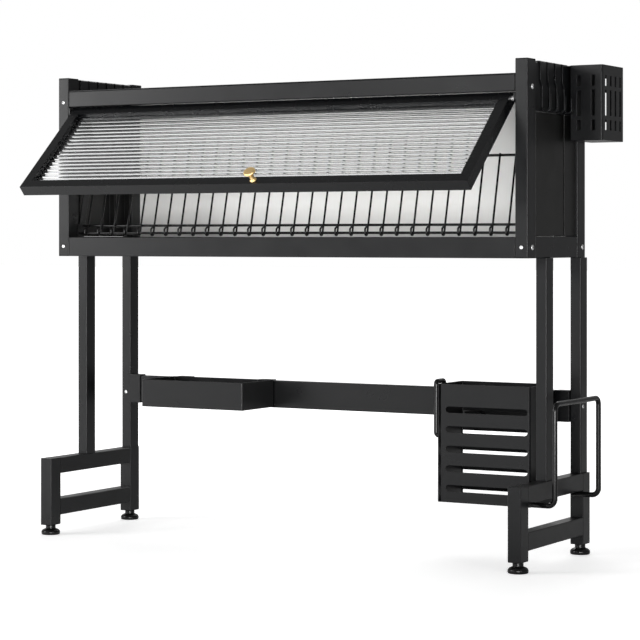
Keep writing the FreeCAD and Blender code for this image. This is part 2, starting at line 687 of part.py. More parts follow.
def hinges():
    """Hinge plates on the posts' inner faces and shouldered pins fixed in the door's ends."""
    plates = []
    pins = []
    plate_inner = POST_INNER - HINGE_PLATE
    shoulder_end = plate_inner - SEAT_GAP
    top = TOP_BEAM_BOTTOM - HINGE_PLATE_TOP_GAP
    for side, sign in SIDES:
        start = Vector(sign * plate_inner, DOOR_PIVOT_Y, DOOR_PIVOT_Z)
        end = Vector(sign * POST_INNER, DOOR_PIVOT_Y, DOOR_PIVOT_Z)
        nose = bar_along([start, end], 2.0 * HINGE_PLATE_RADIUS, PIN_SIDES)
        back = block(start.x, end.x, DOOR_PIVOT_Y, HINGE_PLATE_BACK_Y,
                     DOOR_PIVOT_Z - HINGE_PLATE_RADIUS, top)
        front = block(start.x, end.x, DOOR_PIVOT_Y - HINGE_PLATE_RADIUS, DOOR_PIVOT_Y,
                      DOOR_PIVOT_Z, top)
        bore = bar_along([start, end], HINGE_BORE_DIAMETER, PIN_SIDES)
        plates.append(nose.fuse([back, front]).removeSplitter().cut(bore))
        inside = Vector(sign * (DOOR_HALF - HINGE_PIN_IN_DOOR), DOOR_PIVOT_Y, DOOR_PIVOT_Z)
        outside = Vector(sign * (POST_INNER - SEAT_GAP), DOOR_PIVOT_Y, DOOR_PIVOT_Z)
        pin = bar_along([inside, outside], HINGE_PIN_ACROSS_FLATS, PIN_SIDES)
        shoulder = bar_along([Vector(sign * DOOR_HALF, DOOR_PIVOT_Y, DOOR_PIVOT_Z),
                              Vector(sign * shoulder_end, DOOR_PIVOT_Y, DOOR_PIVOT_Z)],
                             HINGE_SHOULDER_DIAMETER, PIN_SIDES)
        pins.append(pin.fuse(shoulder).removeSplitter())
        for name in ("door_stile_" + side, "door_top_rail"):
            drill(name, inside, outside, HINGE_PIN_DIAMETER + 2.0 * FIT_GAP)
    nodes["hinge_plates"] = Part.makeCompound(plates)
    nodes["hinge_pins"] = Part.makeCompound(pins)


def open_door():
    """Swing every piece of the door from closed to the angle at which it stands."""
    pivot = Vector(0, DOOR_PIVOT_Y, DOOR_PIVOT_Z)
    door_nodes = ("door_stile_left", "door_stile_right", "door_top_rail", "door_bottom_rail",
                  "reeded_panel", "knob", "knob_screw", "hinge_pins")
    for name in door_nodes:
        nodes[name].rotate(pivot, Vector(-1, 0, 0), DOOR_REST_ANGLE)


def plate_rack():
    """A row of wires, bent round the lowest of three long rods that end on two side plates."""
    top = Vector(0, RACK_TOP_Y, CABINET_BOTTOM + RACK_TOP_RISE)
    kink = Vector(0, RACK_KINK_Y, CABINET_BOTTOM + RACK_KINK_RISE)
    foot = Vector(0, RACK_FOOT_Y, CABINET_BOTTOM + RACK_FOOT_RISE)
    tip = Vector(0, RACK_TIP_Y, CABINET_BOTTOM + RACK_TIP_RISE)
    lean = (kink - top).normalize()
    behind = Vector(0, -lean.z, lean.y)
    apart = (WIRE_DIAMETER + RACK_ROD_DIAMETER) / 2.0 + FIT_GAP
    rod_places = [
        top + lean * RACK_TOP_ROD_DROP + behind * apart,
        kink - lean * RACK_KINK_ROD_RISE + behind * apart,
        foot,
    ]
    turn = math.pi / RACK_FOOT_STEPS
    corner = apart / math.cos(turn / 2.0)
    bent = [top, kink]
    for index in range(RACK_FOOT_STEPS):
        angle = -turn * (index + 0.5)
        bent.append(foot + Vector(0, math.cos(angle), math.sin(angle)) * corner)
    bent += [foot + Vector(0, -apart, RACK_FOOT_RETURN), tip]
    half = POST_INNER - RACK_PLATE
    rods = []
    for place in rod_places:
        start = Vector(-half, place.y, place.z)
        rods.append(rod(start, Vector(half, place.y, place.z), RACK_ROD_DIAMETER))
    nodes["rack_rods"] = Part.makeCompound(rods)
    wires = []
    first = WIRE_SHIFT - WIRE_PITCH * (WIRE_COUNT - 1) / 2.0
    for index in range(WIRE_COUNT):
        across = Vector(first + index * WIRE_PITCH, 0, 0)
        wires.append(bar_along([point + across for point in bent], WIRE_DIAMETER, WIRE_SIDES))
    nodes["rack_wires"] = Part.makeCompound(wires)
    margin = RACK_PLATE_MARGIN
    low = BOTTOM_BEAM_TOP + SEAT_GAP
    upper = rod_places[0]
    heel = rod_places[1]
    nose = rod_places[2]
    outline = [
        (nose.y - margin, low), (heel.y + margin * 0.5, low), (heel.y + margin, heel.z),
        (upper.y + margin, upper.z), (upper.y + margin, upper.z + margin),
        (upper.y - margin * 2.0, upper.z + margin), (kink.y - margin, kink.z + margin),
        (nose.y - margin, nose.z + margin),
    ]
    plates = [prism("x", outline, sign * half, sign * POST_INNER) for side, sign in SIDES]
    nodes["rack_end_plates"] = Part.makeCompound(plates)


def rear_rail():
    """A flat rail between the rear legs, held by a sleeve bracket at each end."""
    half = LEG_INNER - BRACKET_WALL - SEAT_GAP
    nodes["rear_rail"] = tube("x", RAIL_FRONT_Y, RAIL_BACK_Y, RAIL_BOTTOM, RAIL_TOP, -half, half)
    grow = BRACKET_WALL + FIT_GAP
    brackets = []
    for side, sign in SIDES:
        open_end = sign * (LEG_INNER - BRACKET_LENGTH)
        sleeve = block(sign * LEG_INNER, open_end, RAIL_FRONT_Y - grow, RAIL_BACK_Y + grow,
                       RAIL_BOTTOM - grow, RAIL_TOP + grow)
        pocket = block(sign * (LEG_INNER - BRACKET_WALL), open_end, RAIL_FRONT_Y - FIT_GAP,
                       RAIL_BACK_Y + FIT_GAP, RAIL_BOTTOM - FIT_GAP, RAIL_TOP + FIT_GAP)
        brackets.append(sleeve.cut(pocket))
    nodes["rail_brackets"] = Part.makeCompound(brackets)


def rail_hanger(x_middle, width, front):
    """A folded strip that lies over the rail, from a wall in front of it, and drops behind it."""
    over = RAIL_TOP + SEAT_GAP
    back = RAIL_BACK_Y + SEAT_GAP
    bridge = block(x_middle - width / 2.0, x_middle + width / 2.0, front, back + SHEET, over,
                   over + SHEET)
    drop = block(x_middle - width / 2.0, x_middle + width / 2.0, back, back + SHEET,
                 RAIL_TOP - HANGER_DROP, over)
    return bridge.fuse(drop)


def open_box(x0, x1, y0, y1, z0, z1):
    """A folded sheet box with no lid and rounded upright corners."""
    outer = soft_prism("z", x0, x1, y0, y1, z0, z1, SHEET * 2.0)
    hollow = soft_prism("z", x0 + SHEET, x1 - SHEET, y0 + SHEET, y1 - SHEET, z0 + SHEET, z1 + 1.0,
                           SHEET)
    return outer.cut(hollow)


def soap_tray():
    """A shallow open tray hung on the rear rail."""
    back = RAIL_FRONT_Y - SEAT_GAP
    right = TRAY_LEFT + TRAY_WIDTH
    top = RAIL_TOP + SEAT_GAP + SHEET
    tray = open_box(TRAY_LEFT, right, back - TRAY_DEPTH, back, TRAY_BOTTOM, top)
    for x in (TRAY_LEFT + HANGER_END, right - HANGER_END):
        tray = tray.fuse(rail_hanger(x, HANGER_WIDTH, back))
    nodes["soap_tray"] = tray.removeSplitter()


def basket():
    """A deep slotted basket, open at its left corner, on the rail, and a wire loop on its wall."""
    back = RAIL_FRONT_Y - BASKET_RAIL_GAP
    front = back - BASKET_DEPTH
    body = open_box(BASKET_LEFT, BASKET_RIGHT, front, back, BASKET_BOTTOM, BASKET_TOP)
    inside = BASKET_LEFT + SHEET
    corner = inside + BASKET_CORNER_GAP
    body = body.cut(block(inside, corner, front - 1.0, front + SHEET, BASKET_BOTTOM + SHEET,
                          BASKET_TOP + 1.0))
    slot_end = BASKET_RIGHT - BASKET_SLOT_INSET
    radius = BASKET_SLOT_HEIGHT / 2.0 * 0.999
    half = BASKET_SLOT_HEIGHT / 2.0
    for index in range(BASKET_SLOT_COUNT):
        z = BASKET_TOP_SLOT_Z - index * BASKET_SLOT_PITCH
        slot = soft_prism("y", slot_end - BASKET_SLOT_LENGTH, slot_end, z - half, z + half, front - 1.0,
                          front + SHEET + 1.0, radius, SLOT_END_STEPS)
        z = BASKET_TOP_SLOT_Z - BACK_SLOT_LOWER - index * BACK_SLOT_PITCH
        rear_slot = block(inside + SHEET, inside + BACK_SLOT_LENGTH, back - SHEET - 1.0, back + 1.0,
                          z - half, z + half)
        body = body.cut([slot, rear_slot])
    for x in (BASKET_LEFT + HANGER_END, BASKET_RIGHT - HANGER_END):
        body = body.fuse(rail_hanger(x, HANGER_WIDTH, back))
        spacer = block(x - HANGER_WIDTH / 2.0, x + HANGER_WIDTH / 2.0, back, RAIL_FRONT_Y - SEAT_GAP,
                       RAIL_BOTTOM + SEAT_GAP, RAIL_BOTTOM + BASKET_SPACER)
        body = body.fuse(spacer)
    nodes["basket"] = body.removeSplitter()
    x = BASKET_LEFT - LOOP_STANDOFF
    y0 = front + LOOP_FRONT_INSET
    y1 = y0 + LOOP_SPAN
    wall = BASKET_LEFT
    points = [Vector(wall, y0, LOOP_BOTTOM), Vector(x, y0, LOOP_BOTTOM), Vector(x, y0, LOOP_TOP),
              Vector(x, y1, LOOP_TOP), Vector(x, y1, LOOP_BOTTOM), Vector(wall, y1, LOOP_BOTTOM)]
    path = eased_path(points, LOOP_BEND, BEND_STEPS)
    nodes["basket_loop"] = bar_along(path, LOOP_WIRE_DIAMETER, LOOP_SIDES)


def utensil_holder():
    """A slotted open box that hangs over the right side's top rail."""
    x0 = SIDE_RAIL_OUTER + HOLDER_GAP
    x1 = x0 + HOLDER_WIDTH
    y0 = HOLDER_FRONT_Y
    y1 = y0 + HOLDER_DEPTH
    top = SIDE_TOP + SEAT_GAP + SHEET
    body = open_box(x0, x1, y0, y1, SIDE_TOP - HOLDER_HEIGHT, top)
    middle = (x0 + x1) / 2.0
    half = HOLDER_SLOT_WIDTH / 2.0
    for high_drop, low_drop in HOLDER_SLOT_DROPS:
        low, high = SIDE_TOP - low_drop, SIDE_TOP - high_drop
        for index in range(HOLDER_SIDE_SLOTS):
            y = (y0 + y1) / 2.0 + (index - (HOLDER_SIDE_SLOTS - 1) / 2.0) * HOLDER_SIDE_PITCH
            body = body.cut(block(x1 - SHEET - 1.0, x1 + 1.0, y - half, y + half, low, high))
        for index in range(HOLDER_FRONT_SLOTS):
            x = middle + (index - (HOLDER_FRONT_SLOTS - 1) / 2.0) * HOLDER_FRONT_PITCH
            body = body.cut(block(x - half, x + half, y0 - 1.0, y0 + SHEET + 1.0, low, high))
        x = middle - HOLDER_BACK_SLOT_SHIFT
        body = body.cut(block(x - half, x + half, y1 - SHEET - 1.0, y1 + 1.0, low, high))
    hanger_end = HOLDER_HANGER_Y + HOLDER_HANGER_WIDTH
    inner = SIDE_RAIL_INNER - SEAT_GAP
    bridge = block(x0 + SHEET, inner - SHEET, HOLDER_HANGER_Y, hanger_end, top - SHEET, top)
    drop = block(inner, inner - SHEET, HOLDER_HANGER_Y, hanger_end, SIDE_TOP - HOLDER_HANGER_DROP, top)
    nodes["utensil_holder"] = body.fuse([bridge, drop]).removeSplitter()


def half_turn(centre_x, centre_z, radius, start, end):
    """Points of a half circle below its centre, from one side angle to the other."""
    points = []
    for step in range(HOOK_BEND_STEPS + 1):
        angle = math.radians(start + (end - start) * step / HOOK_BEND_STEPS)
        points.append((centre_x + radius * math.cos(angle), centre_z + radius * math.sin(angle)))
    return points


def hook_blank(sign):
    """One hook: over the rail, down the outside and round to an upturned tip."""
    thick = HOOK_THICKNESS
    inner = SIDE_RAIL_INNER - SEAT_GAP
    outer = SIDE_RAIL_OUTER + SEAT_GAP
    top = SIDE_TOP + SEAT_GAP + thick
    bend = HOOK_REACH / 2.0
    low = top - HOOK_DROP
    tip_z = low + HOOK_TIP_RISE
    middle = outer + bend
    outline = [(inner - thick, SIDE_TOP - HOOK_INNER_DROP), (inner - thick, top), (outer + thick, top)]
    outline += half_turn(middle, low + bend, bend - thick, 180.0, 360.0)
    outline += [(middle + bend - thick, tip_z), (middle + bend, tip_z)]
    outline += half_turn(middle, low + bend, bend, 360.0, 180.0)
    outline += [(outer, top - thick), (inner, top - thick), (inner, SIDE_TOP - HOOK_INNER_DROP)]
    half = HOOK_WIDTH / 2.0
    shank = HOOK_SHANK / 2.0
    side_view = prism("y", [(sign * x, z) for x, z in outline], -half, half)
    wide_end = top - HOOK_WIDE_DROP
    taper_end = wide_end - HOOK_TAPER
    front_outline = [
        (-half, top + 1.0), (-half, wide_end), (-shank, taper_end), (-shank, low - 1.0),
        (shank, low - 1.0), (shank, taper_end), (half, wide_end), (half, top + 1.0),
    ]
    far = outer + HOOK_REACH + thick
    front_view = prism("x", front_outline, sign * (inner - 2.0 * thick), sign * far)
    return side_view.common(front_view)


def hooks():
    """Rows of equal hooks on the two side top rails."""
    rows = (
        ("hook_right_", 1.0, RIGHT_HOOK_COUNT, RIGHT_HOOK_FIRST_Y, RIGHT_HOOK_PITCH),
        ("hook_left_", -1.0, LEFT_HOOK_COUNT, LEFT_HOOK_FIRST_Y, LEFT_HOOK_PITCH),
    )
    for name, sign, count, first, pitch in rows:
        blank = hook_blank(sign)
        for index in range(count):
            hook = blank.copy()
            hook.translate(Vector(0, first + index * pitch, 0))
            nodes[name + str(index + 1)] = hook


def towel_loop():
    """A bent rod that stands out from the right stepped frame."""
    x = HALF_WIDTH + TOWEL_OUTSET
    x_end = STEP_INNER + TOWEL_END_INSET
    z = STEP_TOP - STEP_TOP_HEIGHT - TOWEL_ROD_DIAMETER / 2.0 - FIT_GAP
    front, rear = TOWEL_FRONT_Y, REAR_LEG_Y - TOWEL_LEG_GAP
    points = [Vector(x_end, front, z), Vector(x, front, z), Vector(x, front, TOWEL_TOP),
              Vector(x, rear, TOWEL_TOP), Vector(x, rear, z), Vector(x_end, rear, z)]
    path = eased_path(points, TOWEL_BEND, BEND_STEPS)
    nodes["towel_loop"] = bar_along(path, TOWEL_ROD_DIAMETER, LOOP_SIDES)


def screw(base, direction, length, head_diameter=SCREW_HEAD_DIAMETER):
    """A domed screw whose head lies on the face at base and whose shank runs into the part."""
    head = head_diameter / 2.0
    shank = SCREW_DIAMETER / 2.0
    tall = SCREW_HEAD_HEIGHT
    profile = [(shank, -length), (shank, 0.0), (head, 0.0), (head, tall * 0.3), (head * 0.6, tall)]
    return facet_turned(profile, base, direction, SCREW_SIDES)


def screws():
    """Screws through the posts into the plugs of the beams and rails, with their holes."""
    top_z = (SIDE_TOP + SIDE_TOP_BOTTOM) / 2.0
    bottom_z = (CABINET_BOTTOM + SIDE_BOTTOM_TOP) / 2.0
    rear_y = CABINET_DEPTH - SIDE_SCREW_BACK
    hole = SCREW_DIAMETER + 2.0 * FIT_GAP
    across = POST_WIDTH + PLUG_FLANGE + SCREW_IN_PLUG
    along = POST_DEPTH + PLUG_FLANGE + SCREW_IN_PLUG
    fitted = []
    for side, sign in SIDES:
        for place, y in (("front", SIDE_SCREW_Y), ("rear", rear_y)):
            for z in (TOP_BEAM_BOTTOM + TOP_SCREW_RISE, bottom_z):
                base = Vector(sign * HALF_WIDTH, y, z)
                end = base - Vector(sign * (across + 1.0), 0, 0)
                fitted.append(screw(base, Vector(sign, 0, 0), across, SIDE_SCREW_HEAD_DIAMETER))
                for name in (place + "_post_" + side, "beam_plugs"):
                    drill(name, base, end, hole)
        for z in (top_z, bottom_z):
            if side == "right" and z == top_z:
                continue
            base = Vector(sign * POST_MIDDLE, 0, z)
            end = base + Vector(0, along + 1.0, 0)
            fitted.append(screw(base, Vector(0, -1, 0), along))
            for name in ("front_post_" + side, "side_rail_plugs"):
                drill(name, base, end, hole)
        y = (RAIL_FRONT_Y + RAIL_BACK_Y) / 2.0 + LEG_SCREW_BACK
        base = Vector(sign * LEG_OUTER, y, (RAIL_BOTTOM + RAIL_TOP) / 2.0)
        length = LEG_WIDTH + BRACKET_WALL
        fitted.append(screw(base, Vector(sign, 0, 0), length))
        end = base - Vector(sign * (length + 1.0), 0, 0)
        for name in ("rear_leg_" + side, "rail_brackets"):
            drill(name, base, end, hole)
    base = Vector(-LEG_OUTER + LEG_WIDTH / 2.0, REAR_LEG_Y, LEG_FRONT_SCREW_Z)
    fitted.append(screw(base, Vector(0, -1, 0), LEG_SCREW_LENGTH))
    drill("rear_leg_left", base, base + Vector(0, LEG_SCREW_LENGTH + 1.0, 0), hole)
    nodes["frame_screws"] = Part.makeCompound(fitted)


def build():
    """Make every node in the cabinet's own coordinates."""
    posts()
    side_rails()
    beams()
    roof_and_back()
    side_panels()
    legs()
    step_frames()
    feet()
    door_frame()
    reeded_panel()
    knob()
    hinges()
    open_door()
    plate_rack()
    rear_rail()
    soap_tray()
    basket()
    utensil_holder()
    hooks()
    towel_loop()
    screws()


def export():
    """Shift the whole object onto its bottom centre and write one file per node."""
    whole = Part.makeCompound(list(nodes.values())).optimalBoundingBox(False)
    shift = Vector(-(whole.XMin + whole.XMax) / 2.0, -(whole.YMin + whole.YMax) / 2.0, -whole.ZMin)
    os.makedirs("parts", exist_ok=True)
    for name, shape in nodes.items():
        shape.translate(shift)
        shape.exportStep("parts/" + name + ".step")
    pivot = Vector(0, DOOR_PIVOT_Y, DOOR_PIVOT_Z) + shift
    print("nodes", len(nodes))
    print("box", whole.XLength, whole.YLength, whole.ZLength)
    print("shift", shift.x, shift.y, shift.z)
    print("door pivot", pivot.x, pivot.y, pivot.z)


build()
export()
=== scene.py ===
"""Looks of the over-sink dish rack: finishes, smooth wire work, small parts, light and camera."""

import math

import bmesh
import bpy
from mathutils import Matrix, Vector

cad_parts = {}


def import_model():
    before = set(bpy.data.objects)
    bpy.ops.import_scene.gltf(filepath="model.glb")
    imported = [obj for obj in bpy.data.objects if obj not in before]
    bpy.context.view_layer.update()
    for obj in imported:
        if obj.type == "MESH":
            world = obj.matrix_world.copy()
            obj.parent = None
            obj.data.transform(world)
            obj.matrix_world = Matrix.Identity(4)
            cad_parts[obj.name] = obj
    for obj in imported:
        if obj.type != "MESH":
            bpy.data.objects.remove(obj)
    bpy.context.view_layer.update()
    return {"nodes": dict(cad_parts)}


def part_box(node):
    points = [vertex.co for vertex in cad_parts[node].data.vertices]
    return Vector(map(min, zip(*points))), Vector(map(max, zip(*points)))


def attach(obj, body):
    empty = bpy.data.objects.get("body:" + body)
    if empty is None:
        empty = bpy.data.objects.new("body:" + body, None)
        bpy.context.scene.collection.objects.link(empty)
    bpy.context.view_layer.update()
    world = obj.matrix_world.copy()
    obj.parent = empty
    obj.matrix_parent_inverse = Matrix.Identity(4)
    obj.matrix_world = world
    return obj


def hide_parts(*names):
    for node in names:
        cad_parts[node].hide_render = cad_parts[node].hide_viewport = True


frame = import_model()
NODES = frame["nodes"]
SCENE = bpy.context.scene
MM = 0.001
UP = Vector((0.0, 0.0, 1.0))

# The cabinet's own coordinates: x = 0 on its middle, y = 0 on its front, z = 0 on the worktop
POST_LEFT_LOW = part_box("front_post_left")[0]
POST_RIGHT_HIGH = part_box("front_post_right")[1]
ORIGIN = Vector(((POST_LEFT_LOW.x + POST_RIGHT_HIGH.x) / 2.0, POST_LEFT_LOW.y, 0.0))

# Camera, fitted to the photograph: place in the cabinet's coordinates (mm), turn and picture scale
CAMERA_PLACE = (1987.81, -3288.85, 544.18)
CAMERA_YAW = 30.0756
CAMERA_REACH = 100.0
PICTURE_SIZE = 640.0
FOCAL_PIXELS = 2208.72
HORIZON_ROW = 237.517
SENSOR_WIDTH = 36.0

# Lamps: name, place, point aimed at, size (m) and power (W). A large one at the front left, two
# fills in front, one behind and above, and a strip at the right
LAMPS = (
    ("key", (-3.1, -2.6, 1.55), (0.0, 0.0, 0.55), (1.5, 2.0), 89.0),
    ("fill", (2.0, -3.2, 0.35), (0.0, 0.0, 0.6), (2.0, 0.7), 92.0),
    ("upper_fill", (-0.9, -3.4, 1.25), (0.1, 0.0, 0.7), (1.4, 0.7), 15.0),
    ("behind", (-0.8, 2.6, 2.6), (0.0, 0.0, 0.3), (2.4, 1.6), 30.0),
    ("edge", (2.9, -1.6, 0.6), (0.3, 0.0, 0.5), (0.4, 1.8), 14.0),
)

# Surround: its strength as a light, on its dim and its bright side, and how it turns between them
SURROUND_LIGHT = (0.25, 0.5)
SURROUND_TURN = (0.15, 0.95)
SURROUND_TOWARD = (-0.8, 0.6, 0.0)

# Floor: its glow where it is seen, near the object and far away, and the distances between (m)
FLOOR_HALF = 30.0
FLOOR_DROP = 0.0002
FLOOR_LIFT = (0.54, 1.0)
FLOOR_REACH = (0.75, 2.2)
# Its glow in reflections, which rises towards the front left
FLOOR_SHINE = (0.0, 1.2)
FLOOR_SHINE_REACH = (-0.1, 1.1)
FLOOR_SHINE_TOWARD = (-0.5, -0.86, 0.0)

# Finishes
COAT_SHINE = 0.25
COAT_PEEL = 0.07
PLASTIC_SHINE = 0.22
TOOL_MARKS = (1.0, 1.0, 30.0)
SOFT_EDGE = 0.0010
NOT_SOFTENED = ("reeded_panel", "rack_rods", "hinge_pins", "knob_screw", "back_panel")

# Door (mm), given closed, and the angle at which it stands
PIVOT = (0.0, 9.0, 773.0)
DOOR_ANGLE = 47.8
DOOR_HALF = 443.0
DOOR_TOP = 777.0
DOOR_BOTTOM = 556.0
DOOR_THICKNESS = 20.0
DOOR_FRAME_WIDTH = 18.0

# Glazing: its edge lies in a groove, and its reeds start just past the frame
GLAZING_THICKNESS = 3.0
GLAZING_EDGE = 13.0
GLAZING_IOR = 1.49
GLAZING_SHINE = 0.3
GLAZING_SHADE = (0.82, 0.83, 0.83, 1.0)
REED_COUNT = 19
REED_STEPS = 16
REED_HEIGHT = 1.4
REED_START_GAP = 0.3
REED_MARGIN = DOOR_FRAME_WIDTH - GLAZING_EDGE + REED_START_GAP
REED_PITCH = (DOOR_TOP - DOOR_BOTTOM - 2.0 * (GLAZING_EDGE + REED_MARGIN)) / REED_COUNT
# Painted shade in the glazing's colour: the colour in the valley between two reeds and on the reed,
# and where it changes, in parts of a reed
REED_PAINTED_SHADE = ((0.50, 0.51, 0.52), (0.985, 0.99, 0.99))
REED_SHADE_SPAN = (0.04, 0.17)

# Turned parts: (radius, height) profiles in mm, closed at a very small radius
CENTRE = 0.01
KNOB_X = 42.0
KNOB_EASE = 0.9
KNOB_PROFILE = [(CENTRE, 0.0), (6.0, 0.0), (6.0, 1.6), (4.1, 2.6), (4.0, 9.0), (5.2, 12.5),
                (8.2, 15.6), (10.5, 16.8), (10.5, 19.8), (9.4, 21.0), (CENTRE, 21.0)]
FOOT_EASE = 1.6
FOOT_EDGE = ((1.0, 0.0), (0.0, 1.6), (0.0, 6.0))
FOOT_SHOULDER = (0.86, 9.0)
FOOT_NECK = ((9.8, 11.0), (9.0, 11.4), (9.0, 17.7), (4.0, 17.7))
FOOT_STUD_RADIUS = 4.0

# Screws: how far the heads stand out, their flat rim, the part below them and the cross recess,
# painted as dark bars of shade
SCREW_RISE = 1.8
SCREW_RIM = 0.35
SCREW_SHANK = 2.0
SCREW_DOME_STEPS = 6
RECESS_WIDTH = 0.2
RECESS_DEPTH = 0.9
RECESS_DROP = 0.42
RECESS_TURN = 20.0

# Plate rack: (y, z) of a wire's top, kink, foot and tip
WIRE_COUNT = 30
WIRE_PITCH = 29.6
WIRE_SHIFT = -6.0
WIRE_RADIUS = 1.75
WIRE_BEND = 8.0
WIRE_TIP_BEND = 3.0
ROD_RADIUS = 2.25
ROD_GAP = 0.1
RACK_TOP = (67.0, 685.5)
RACK_KINK = (38.0, 565.0)
RACK_FOOT = (31.2, 552.2)
RACK_RETURN = 7.0
RACK_TIP = (33.2, 563.4)
HALF_TURN_STEPS = 12

# Loops: radius of the wire and of its bends
TOWEL_WIRE = (4.4, 12.0)
BASKET_WIRE = (4.2, 5.2)

# Hooks
RIGHT_HOOKS = 4
LEFT_HOOKS = 6
HOOK_THICK = 2.5
HOOK_HALF = 11.5
HOOK_SHANK_HALF = 4.0
HOOK_WIDE_DROP = 30.0
HOOK_TAPER = 13.0
HOOK_INNER_DROP = 19.0
HOOK_FOLD = 2.2
HOOK_DROPS = range(26, 76, 3)
HOOK_REACH = 16.0
HOOK_TIP_RISE = 28.0
HOOK_TIP_MIDDLE = 0.6


def at(x, y, z):
    """A point given in the cabinet's millimetres, in the frame's metres."""
    return ORIGIN + Vector((x, y, z)) * MM


def on_door(x, y, z):
    """A point given on the closed door, turned with the door to where it stands."""
    angle = math.radians(-DOOR_ANGLE)
    dy, dz = y - PIVOT[1], z - PIVOT[2]
    turned_y = PIVOT[1] + dy * math.cos(angle) - dz * math.sin(angle)
    turned_z = PIVOT[2] + dy * math.sin(angle) + dz * math.cos(angle)
    return at(x, turned_y, turned_z)


# Materials

class Nodes:
    """The nodes of a material or world, with short calls for those that it needs."""

    def __init__(self, owner):
        owner.use_nodes = True
        self.owner = owner
        self.tree = owner.node_tree
        self.shader = self.tree.nodes.get("Principled BSDF")
        self.output = self.tree.nodes.get("Material Output")

    def add(self, kind, **settings):
        node = self.tree.nodes.new(kind)
        for key, value in settings.items():
            setattr(node, key, value)
        return node

    def give(self, target, value):
        """Link an input to another node's output, or set it."""
        if isinstance(value, bpy.types.NodeSocket):
            self.tree.links.new(value, target)
        else:
            target.default_value = value

    def set(self, **values):
        """Give the shader's inputs, named with _ for each space."""
        for name, value in values.items():
            self.give(self.shader.inputs[name.replace("_", " ")], value)

    def value(self, operation, first, second=None, kind="ShaderNodeMath"):
        """The number that a sum of one or two inputs gives."""
        node = self.add(kind, operation=operation)
        self.give(node.inputs[0], first)
        if second is not None:
            self.give(node.inputs[1], second)
        return node.outputs["Value"]

    def toward(self, place, direction):
        """How far a place lies along a direction."""
        return self.value("DOT_PRODUCT", place, direction, "ShaderNodeVectorMath")

    def coordinate(self, name):
        return self.add("ShaderNodeTexCoord").outputs[name]

    def rays(self, name):
        return self.add("ShaderNodeLightPath").outputs[name]

    def noise(self, scale, detail=3.0, stretch=None):
        """A noise pattern in metres, with about `scale` features to the metre."""
        node = self.add("ShaderNodeTexNoise")
        node.inputs["Scale"].default_value = scale
        node.inputs["Detail"].default_value = detail
        source = self.coordinate("Object")
        if stretch:
            mapping = self.add("ShaderNodeMapping")
            mapping.inputs["Scale"].default_value = stretch
            self.give(mapping.inputs["Vector"], source)
            source = mapping.outputs["Vector"]
        self.give(node.inputs["Vector"], source)
        return node.outputs["Fac"]

    def ramp(self, source, low, high, start=0.3, end=0.7):
        """A two-colour ramp over part of a pattern's range."""
        node = self.add("ShaderNodeValToRGB")
        for element, colour, place in zip(node.color_ramp.elements, (low, high), (start, end)):
            element.position = place
            element.color = (*colour, 1.0)
        self.give(node.inputs["Fac"], source)
        return node.outputs["Color"]

    def spread(self, source, low, high, start=0.3, end=0.7, clamp=True):
        """A number that runs from low to high over part of a pattern's range."""
        node = self.add("ShaderNodeMapRange", clamp=clamp)
        for name, value in (("Value", source), ("From Min", start), ("From Max", end),
                            ("To Min", low), ("To Max", high)):
            self.give(node.inputs[name], value)
        return node.outputs["Result"]

    def bump(self, source, strength, distance):
        node = self.add("ShaderNodeBump")
        for name, value in (("Strength", strength), ("Distance", distance), ("Height", source)):
            self.give(node.inputs[name], value)
        return node.outputs["Normal"]


def new_material(name):
    return Nodes(bpy.data.materials.new(name))


def powder_coat(name, dark, light, roughness, grain=2600.0, depth=0.00004):
    """A satin coat baked on metal: fine orange peel, faint clouding and uneven gloss."""
    n = new_material(name)
    n.set(Base_Color=n.ramp(n.noise(5.0, 2.0), dark, light),
          Roughness=n.spread(n.noise(22.0), *roughness),
          Normal=n.bump(n.noise(grain, 2.0), COAT_PEEL, depth),
          Specular_IOR_Level=COAT_SHINE)
    return n.owner


def plastic(name, dark, light, roughness, grain=900.0, strength=0.1):
    """Moulded plastic with a faint mould texture."""
    n = new_material(name)
    n.set(Base_Color=n.ramp(n.noise(25.0), dark, light),
          Roughness=n.spread(n.noise(140.0, 4.0), *roughness),
          Normal=n.bump(n.noise(grain, 2.0), strength, 0.0001),
          Specular_IOR_Level=PLASTIC_SHINE)
    return n.owner


def bright_metal(name, dark, light, roughness):
    """Turned or plated metal with fine tool marks."""
    n = new_material(name)
    marks = n.noise(500.0, stretch=TOOL_MARKS)
    n.set(Base_Color=n.ramp(marks, dark, light),
          Roughness=n.spread(n.noise(300.0), *roughness),
          Normal=n.bump(marks, 0.06, 0.00003),
          Metallic=1.0)
    return n.owner


def clear_sheet(name):
    """Clear reeded glazing with painted shade: its colour is darker in the valleys between its
    reeds. Shadows and soft light pass straight on.
    """
    n = new_material(name)
    upward = (on_door(0.0, 0.0, DOOR_TOP) - on_door(0.0, 0.0, DOOR_BOTTOM)).normalized()
    start = on_door(0.0, 0.0, DOOR_BOTTOM + GLAZING_EDGE + REED_MARGIN).dot(upward)
    turns = n.spread(n.toward(n.coordinate("Object"), upward), 0.0, 1.0,
                     start, start + REED_PITCH * MM, clamp=False)
    across_reed = n.value("PINGPONG", turns, 0.5)
    # Painted shade: the darker valley colour stands for the dark lines that refraction shows along
    # each valley
    n.set(Base_Color=n.ramp(across_reed, *REED_PAINTED_SHADE, *REED_SHADE_SPAN),
          Roughness=n.spread(n.noise(40.0), 0.0, 0.012),
          Transmission_Weight=1.0, IOR=GLAZING_IOR, Specular_IOR_Level=GLAZING_SHINE)
    through = n.add("ShaderNodeBsdfTransparent")
    through.inputs["Color"].default_value = GLAZING_SHADE
    mixed = n.add("ShaderNodeMixShader")
    n.give(mixed.inputs["Fac"],
           n.value("MAXIMUM", n.rays("Is Shadow Ray"), n.rays("Is Diffuse Ray")))
    n.give(mixed.inputs[1], n.shader.outputs["BSDF"])
    n.give(mixed.inputs[2], through.outputs["BSDF"])
    n.give(n.output.inputs["Surface"], mixed.outputs["Shader"])
    return n.owner


